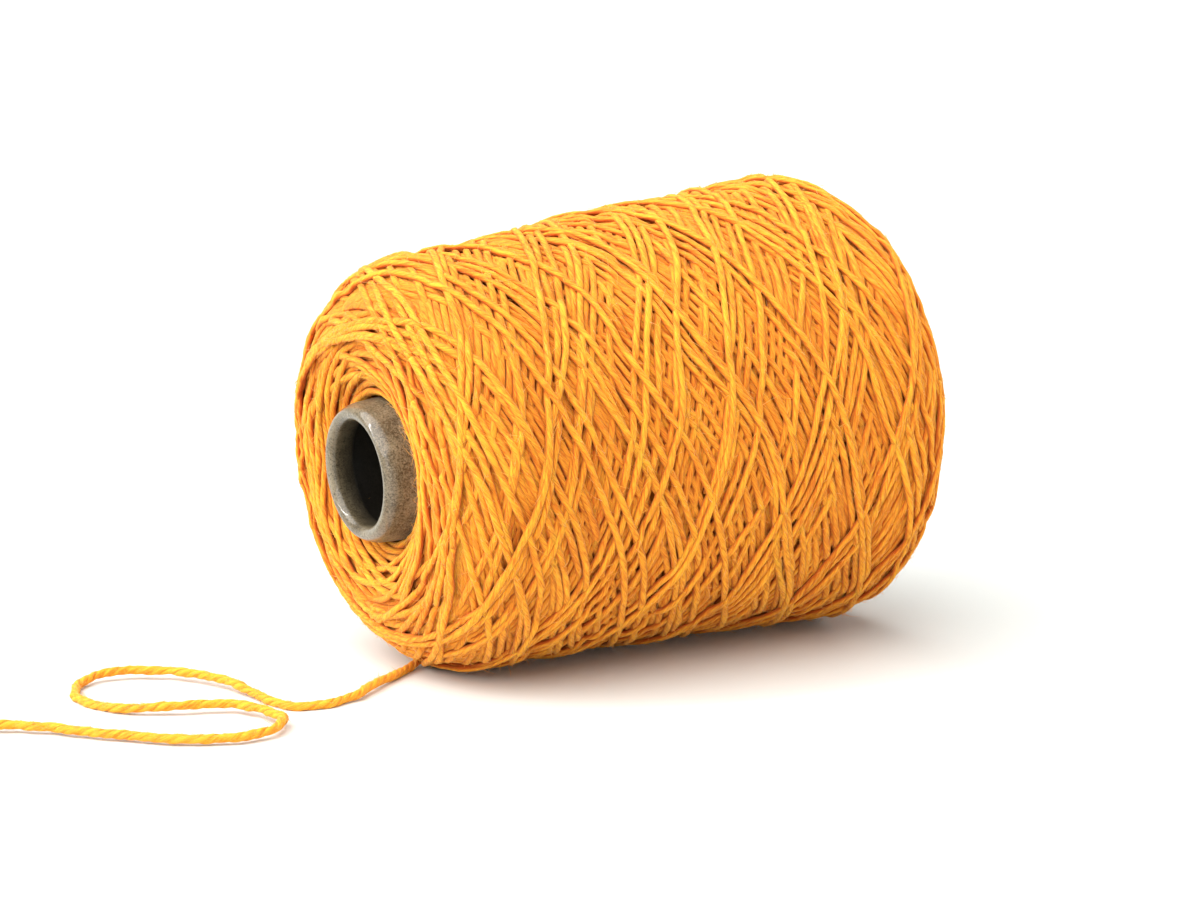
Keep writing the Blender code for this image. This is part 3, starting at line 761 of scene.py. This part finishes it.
def add_tail(finish, fuzz):
    """The loose end, and its way on into the winding as a piece of its own: the section has a lobe for
    each ply, r = R (1 - groove (1 - |sin(plies pi (share round + length / pitch))|^0.7)), and is carried
    along the route, which springs a little off the floor and kinks a little to each side."""
    touching = YARN_DIAMETER / 2 + TAIL_LIFT
    root = np.array([*TAIL_ROOT, (*TAIL_ROUTE[0], touching)])
    flat = smooth_route(np.vstack([root[:-1, :2], TAIL_ROUTE]), TAIL_RING_PITCH)
    start = np.argmin(np.linalg.norm(flat - TAIL_ROUTE[0], axis=1))
    rings = len(flat)
    x = (np.arange(rings) - start) * TAIL_RING_PITCH
    random = np.random.RandomState(SEED + 5)
    eased = np.clip(x / EASE, 0, 1)
    eased = eased ** 2 * (3 - 2 * eased)
    spring = SPRING * eased * np.clip(0.70 + 0.45 * wave(random, x, 70, 160, 3), 0, 1)
    height = np.where(x < 0, np.interp(-flat[:, 0], -root[:, 0], root[:, 2]), touching + spring)
    sideways = KINK * eased * wave(random, x, 9, 30)
    run = unit(np.gradient(flat, axis=0))
    flat = flat + np.column_stack([-run[:, 1], run[:, 0]]) * sideways[:, None]
    middle = np.column_stack([flat, height])
    run = unit(np.gradient(middle, axis=0))
    side = unit(np.cross((0, 0, 1.0), run))
    up = np.cross(run, side)
    thick = 1 + 0.05 * wave(random, x, 5, 30, 6)
    length = x + 0.05 * PLY_PITCH * wave(random, x, 12, 60)
    share = np.arange(TAIL_SIDES) / TAIL_SIDES
    ply = np.abs(np.sin(PLIES * math.pi * (share + length[:, None] / PLY_PITCH))) ** 0.7
    radius = YARN_DIAMETER / 2 * PUFF * (1 - PLY_GROOVE * (1 - ply)) * thick[:, None]
    turn = (share - 0.25) * TAU
    points = ring_points(middle, side, up, np.cos(turn) * radius, np.sin(turn) * radius)
    points[..., 2] = np.maximum(points[..., 2], 0.02)
    for name, rows, node in (("loose_end", slice(start, rings), "yarn_tail"),
                             ("last_turn", slice(0, start + 1), "wound_yarn")):
        own = length[rows]
        faces, uv = tube_faces(own, [len(own)], TAIL_SIDES)
        # The loose end and its root take the paler tone of painted light.
        depth = np.zeros(len(own) * TAIL_SIDES)
        add_piece(name, points[rows], faces, finish, node, uv,
                                [("tone", depth + TAIL_PAINTED_LIGHT), ("depth", depth)])
    pick = np.random.RandomState(SEED + 6).randint(start + 20, rings, TAIL_FIBRES * 2)
    around = np.random.RandomState(SEED + 7).uniform(0, math.pi, (len(pick), 1))
    out = side[pick] * np.cos(around) + up[pick] * np.sin(around)
    add_fuzz("fuzz_loose_end", middle[pick] + out * YARN_DIAMETER * 0.42, out, run[pick], TAIL_FIBRES, 0.6,
             fuzz, "yarn_tail")
    path = middle[start:] * MM
    path = np.vstack([path[:-1:3], path[-1:]])


# ---- finishes
class Value:
    """One socket of a finish. Sums, products and powers of values add their Math nodes."""

    def __init__(self, finish, socket):
        self.finish, self.socket = finish, socket

    def maths(self, operation, *others):
        return self.finish.node("ShaderNodeMath", {"operation": operation}, dict(enumerate((self, *others))))

    __add__ = __radd__ = partialmethod(maths, "ADD")
    __sub__ = partialmethod(maths, "SUBTRACT")
    __mul__ = __rmul__ = partialmethod(maths, "MULTIPLY")
    __truediv__ = partialmethod(maths, "DIVIDE")
    __pow__ = partialmethod(maths, "POWER")
    __abs__ = partialmethod(maths, "ABSOLUTE")
    sine = partialmethod(maths, "SINE")

    def __rsub__(self, other):
        return self.finish.node("ShaderNodeMath", {"operation": "SUBTRACT"}, {0: other, 1: self})

    def held(self):
        """Held between 0 and 1."""
        return self.finish.node("ShaderNodeClamp", {}, {0: self})


class Finish:
    """A material with its nodes, and the shader that its own sockets are set on."""

    def __init__(self, name, roughness, **sockets):
        self.material = bpy.data.materials.new(name)
        self.material.use_nodes = True
        self.tree = self.material.node_tree
        self.shader = self.tree.nodes["Principled BSDF"]
        self.wear(Roughness=roughness, **sockets)

    def put(self, node, socket, value):
        """Sets a socket, or links a value to it."""
        if isinstance(value, Value):
            self.tree.links.new(value.socket, node.inputs[socket])
        else:
            node.inputs[socket].default_value = value

    def node(self, kind, settings, sockets, output=0):
        """Adds a node of a type, with its settings first and then its sockets, and returns an output."""
        made = self.tree.nodes.new(kind)
        for name, value in settings.items():
            setattr(made, name, value)
        for socket, value in sockets.items():
            self.put(made, socket, value)
        return Value(self, made.outputs[output])

    def blend(self, share, low, high):
        """A colour between two, by a share."""
        return self.node("ShaderNodeMix", {"data_type": "RGBA", "clamp_factor": True},
                         {0: share, 6: low, 7: high}, 2)

    def place(self):
        """The place on the piece, in metres."""
        return self.node("ShaderNodeTexCoord", {}, {}, "Object")

    def vector(self, operation, one, two=(0, 0, 0), output=0):
        """One operation on one vector or two."""
        return self.node("ShaderNodeVectorMath", {"operation": operation}, {0: one, 1: two}, output)

    def bump(self, height, distance, strength=1.0):
        """A normal tilted by a height, in metres for each unit of it."""
        return self.node("ShaderNodeBump", {}, {"Strength": strength, "Distance": distance, "Height": height})

    def noise(self, place, scale, detail=3.0, roughness=0.5):
        """Fractal noise between 0 and 1."""
        return self.node("ShaderNodeTexNoise", {}, {"Vector": place, "Scale": scale, "Detail": detail,
                                                    "Roughness": roughness}, "Fac")

    def wear(self, **sockets):
        """Sets sockets of the shader, or links values to them."""
        for socket, value in sockets.items():
            self.put(self.shader, socket.replace("_", " "), value)
        return self.material


def yarn_finish(name, ply_strength, pitch, shaded):
    """Plied wool yarn: fibre streaks that follow the yarn, the grooves between its plies with painted shade
    in them, flanks darkened by painted shade where the hair of its neighbours would shade them, a tone of
    its own for each turn, and painted shade that deepens where a turn lies under others."""
    yarn = Finish(name, 0.82, Sheen_Weight=0.25, Sheen_Roughness=0.45, Sheen_Tint=(1.0, 0.72, 0.25, 1.0),
                  Specular_IOR_Level=0.25, Subsurface_Weight=0.35, Subsurface_Radius=(1.0, 0.32, 0.08),
                  Subsurface_Scale=0.0016)
    uv = yarn.node("ShaderNodeUVMap", {"uv_map": "along_and_round"}, {})
    u, v = (yarn.node("ShaderNodeSeparateXYZ", {}, {0: uv}, axis) for axis in (0, 1))
    tone, depth = (yarn.node("ShaderNodeAttribute", {"attribute_name": title}, {}, "Fac")
                   for title in ("tone", "depth"))
    lean = v + u * (1.0 / pitch)
    groove = abs((lean * (PLIES * math.pi)).sine())

    def drawn_out(along, across, seed, detail):
        """Noise drawn out along the fibres."""
        place = yarn.node("ShaderNodeCombineXYZ", {}, {0: u * along, 1: lean * across, 2: tone * seed})
        return yarn.noise(place, 1.0, detail, 0.6)

    streaks, fibres = drawn_out(0.14, 11.0, 40.0, 3.0), drawn_out(0.40, 26.0, 17.0, 2.0)
    clouds = yarn.noise(yarn.node("ShaderNodeCombineXYZ", {}, {0: u * 0.06, 1: v, 2: tone * 29.0}), 1.0, 2.0)
    # Painted shade: each strand's flanks are darkened toward a deep red-brown, where its neighbours would
    # shade them.
    painted_flank_shade = ((abs(v - 0.5) - 0.12) / 0.12).held()
    # The ply grooves also darken the colour here: painted shade in the grooves, beside their bump.
    light = (0.56 + (streaks - 0.5) * 2.1 + (fibres - 0.5) * 2.5 + (clouds - 0.5) * 0.7 + tone * 0.10
             + (groove - 0.6) * (0.40 * ply_strength)).held()
    colour = yarn.blend(light, (0.58, 0.145, 0.008, 1), (0.98, 0.41, 0.027, 1))
    colour = yarn.blend(painted_flank_shade * shaded, colour, (0.50, 0.080, 0.006, 1))
    # Painted shade: a turn that lies under others is painted darker and redder, the deeper it lies.
    colour = yarn.blend(depth * 0.50, colour, (0.55, 0.095, 0.007, 1))
    relief = groove * (0.28 * ply_strength) + streaks * 0.40 + fibres * 0.40
    return yarn.wear(Base_Color=colour, Normal=yarn.bump(relief, 0.0006))


def mottled_finish(name, roughness, scale, detail, low, high, **sockets):
    """A plain finish whose colour wanders between two."""
    finish = Finish(name, roughness, **sockets)
    grain = finish.noise(finish.place(), scale, detail)
    return finish.wear(Base_Color=finish.blend(grain, low, high))


def card_finish():
    """Grey-brown card: mottled pulp with dark specks and fibres, burnished at the rolled nose, and
    painted dark down the bore, as painted shade."""
    card = Finish("card", 0.5, Coat_Roughness=0.10, Specular_IOR_Level=0.22)
    place = card.place()
    mottle = card.noise(place, 180.0, 5.0, 0.6)
    clouds = card.noise(place, 45.0, 2.0)
    specks = (card.noise(place, 1200.0, 2.0, 0.7) - 0.56) * 10.0
    pale = (card.noise(place, 900.0, 2.0, 0.7) - 0.60) * 6.0
    light = (0.5 + (mottle - 0.5) * 1.8 + (clouds - 0.5)).held()
    grain = card.noise(place, 1900.0, 2.0, 0.7)
    light = (light + (grain - 0.5) * 2.6).held()
    colour = card.blend(light, (0.080, 0.060, 0.033, 1), (0.30, 0.240, 0.150, 1))
    colour = card.blend(specks.held() * 0.75, colour, (0.035, 0.026, 0.014, 1))
    colour = card.blend(pale.held() * 0.4, colour, (0.42, 0.36, 0.26, 1))
    # Places on the core in metres: along the axis from the winding's near end, and away from the axis.
    offset = card.vector("SUBTRACT", place, tuple(START * MM))
    along = card.vector("DOT_PRODUCT", offset, tuple(AXIS), "Value")
    out_from = card.vector("LENGTH", offset, output="Value")
    away = (out_from * out_from - along * along) ** 0.5
    nose = (1.0 - (along - 0.001) / 0.006).held()
    inside = ((along * math.tan(CORE_HALF_ANGLE) + (CORE_NOSE_RADIUS - 1.2) * MM - away) * 2000.0).held()
    # Painted shade down the bore: the colour goes toward black further in from the lip, through lit and deep.
    lit = (1.0 - (along + 0.0025) / 0.010).held()
    deep = (1.0 - lit * lit) * inside * ((0.13 - along) / 0.06).held()
    lip = ((0.0012 - along) / 0.002).held()
    colour = card.blend(nose * 0.35, colour, (0.055, 0.036, 0.010, 1))
    colour = card.blend(deep * 0.96, colour, (0.006, 0.004, 0.002, 1))
    relief = mottle * 0.5 + card.noise(place, 900.0, 3.0, 0.6) * 0.5
    return card.wear(Base_Color=colour, Roughness=0.66 - nose * 0.2 + (mottle - 0.5) * 0.15,
                     Coat_Weight=lip * (1.0 - deep), Normal=card.bump(relief + grain * 0.3, 0.0003, 0.5))


# ---- studio
def add_stage_piece(name, points, faces, finish):
    """A piece of the studio."""
    mesh = bpy.data.meshes.new(name)
    mesh.from_pydata(points, [], faces)
    put_mesh(mesh, finish)


def add_floor():
    """A wide round white floor, and a pale lit wall all round it."""
    reach, height, around = 6.0, 1.6, 64
    angle = np.arange(around) * TAU / around
    rim, top = ([(reach * math.cos(a), reach * math.sin(a), z) for a in angle] for z in (0.0, height))
    white = mottled_finish("white_floor", 0.55, 6.0, 2.0, (0.68, 0.70, 0.67, 1), (0.72, 0.74, 0.71, 1),
                           Specular_IOR_Level=0.2)
    add_stage_piece("floor", rim, [tuple(range(around))], white)
    wall = Finish("pale_wall", 0.8, Base_Color=(0.8, 0.8, 0.8, 1), Emission_Color=(1.0, 1.0, 0.985, 1),
                  Emission_Strength=0.55)
    sides = [((i + 1) % around, i, around + i, around + (i + 1) % around) for i in range(around)]
    add_stage_piece("wall", rim + top, sides, wall.material)


def put_up(name, data, place, toward):
    """Puts up a lamp or a camera at a place in metres, looking toward a direction."""
    thing = bpy.data.objects.new(name, data)
    thing.location = place
    thing.rotation_euler = Vector(toward).to_track_quat("-Z", "Y").to_euler()
    bpy.context.scene.collection.objects.link(thing)
    return thing


# Oblong lamps that shine on the cone: name, place in metres, width, height and watts.
LAMPS = (("window", (-1.2, 0.37, 0.85), 0.06, 1.30, 11.0), ("front", (-0.9, -1.0, 0.5), 0.5, 0.5, 1.5))


def add_lights():
    """A soft skylight from the upper left, two oblong lamps, and the pale room."""
    sky = bpy.data.lights.new("skylight", "SUN")
    sky.energy, sky.angle = 5.6, math.radians(88)
    put_up("skylight", sky, (0, 0, 0), (0.55, 0.08, -1.0))
    for name, place, wide, high, watts in LAMPS:
        lamp = bpy.data.lights.new(name, "AREA")
        lamp.shape, lamp.size, lamp.size_y, lamp.energy = "RECTANGLE", wide, high, watts
        put_up(name, lamp, place, Vector((0, 0, 0.06)) - Vector(place))
    room = bpy.data.worlds.new("pale_room")
    room.use_nodes = True
    background = room.node_tree.nodes["Background"].inputs
    background["Color"].default_value = (1.0, 1.0, 1.0, 1)
    background["Strength"].default_value = 0.28
    bpy.context.scene.world = room


def add_camera():
    """The photograph's camera, as fitted to the cone's outline."""
    data = bpy.data.cameras.new("camera")
    data.lens, data.sensor_width = 75.138, 36.0
    place, toward = (-0.404265, -0.621717, 0.182492), (0.534486, 0.828974, -0.164701)
    bpy.context.scene.camera = put_up("camera", data, place, toward)


def dress():
    """The cone of yarn with its finishes, and the studio round it."""
    yarn = yarn_finish("yarn", 0.55, WOUND_PITCH, 0.85)
    # Painted light makes the loose fibres paler than the yarn, and painted shade makes the buried yarn dark.
    fuzz = mottled_finish("fuzz", 0.7, 90.0, 1.0, (0.80, 0.28, 0.015, 1), (1.0, 0.50, 0.06, 1),
                          Sheen_Weight=0.3, Specular_IOR_Level=0.2)
    add_fuzz("fuzz", *add_turns(wind(), yarn), FUZZ_FIBRES, 1.0, fuzz, "wound_yarn")
    # The buried yarn is painted darker than the yarn: painted shade deep between the turns.
    add_under_yarn(mottled_finish("painted_shade_buried_yarn", 0.9, 600.0, 2.0, (0.36, 0.095, 0.004, 1),
                                  (0.52, 0.15, 0.006, 1), Specular_IOR_Level=0.1))
    add_core(card_finish())
    add_tail(yarn_finish("yarn_loose_end", 0.8, PLY_PITCH, 0.1), fuzz)
    add_floor()
    add_lights()
    add_camera()
    bpy.context.scene.view_settings.view_transform = "Standard"


dress()
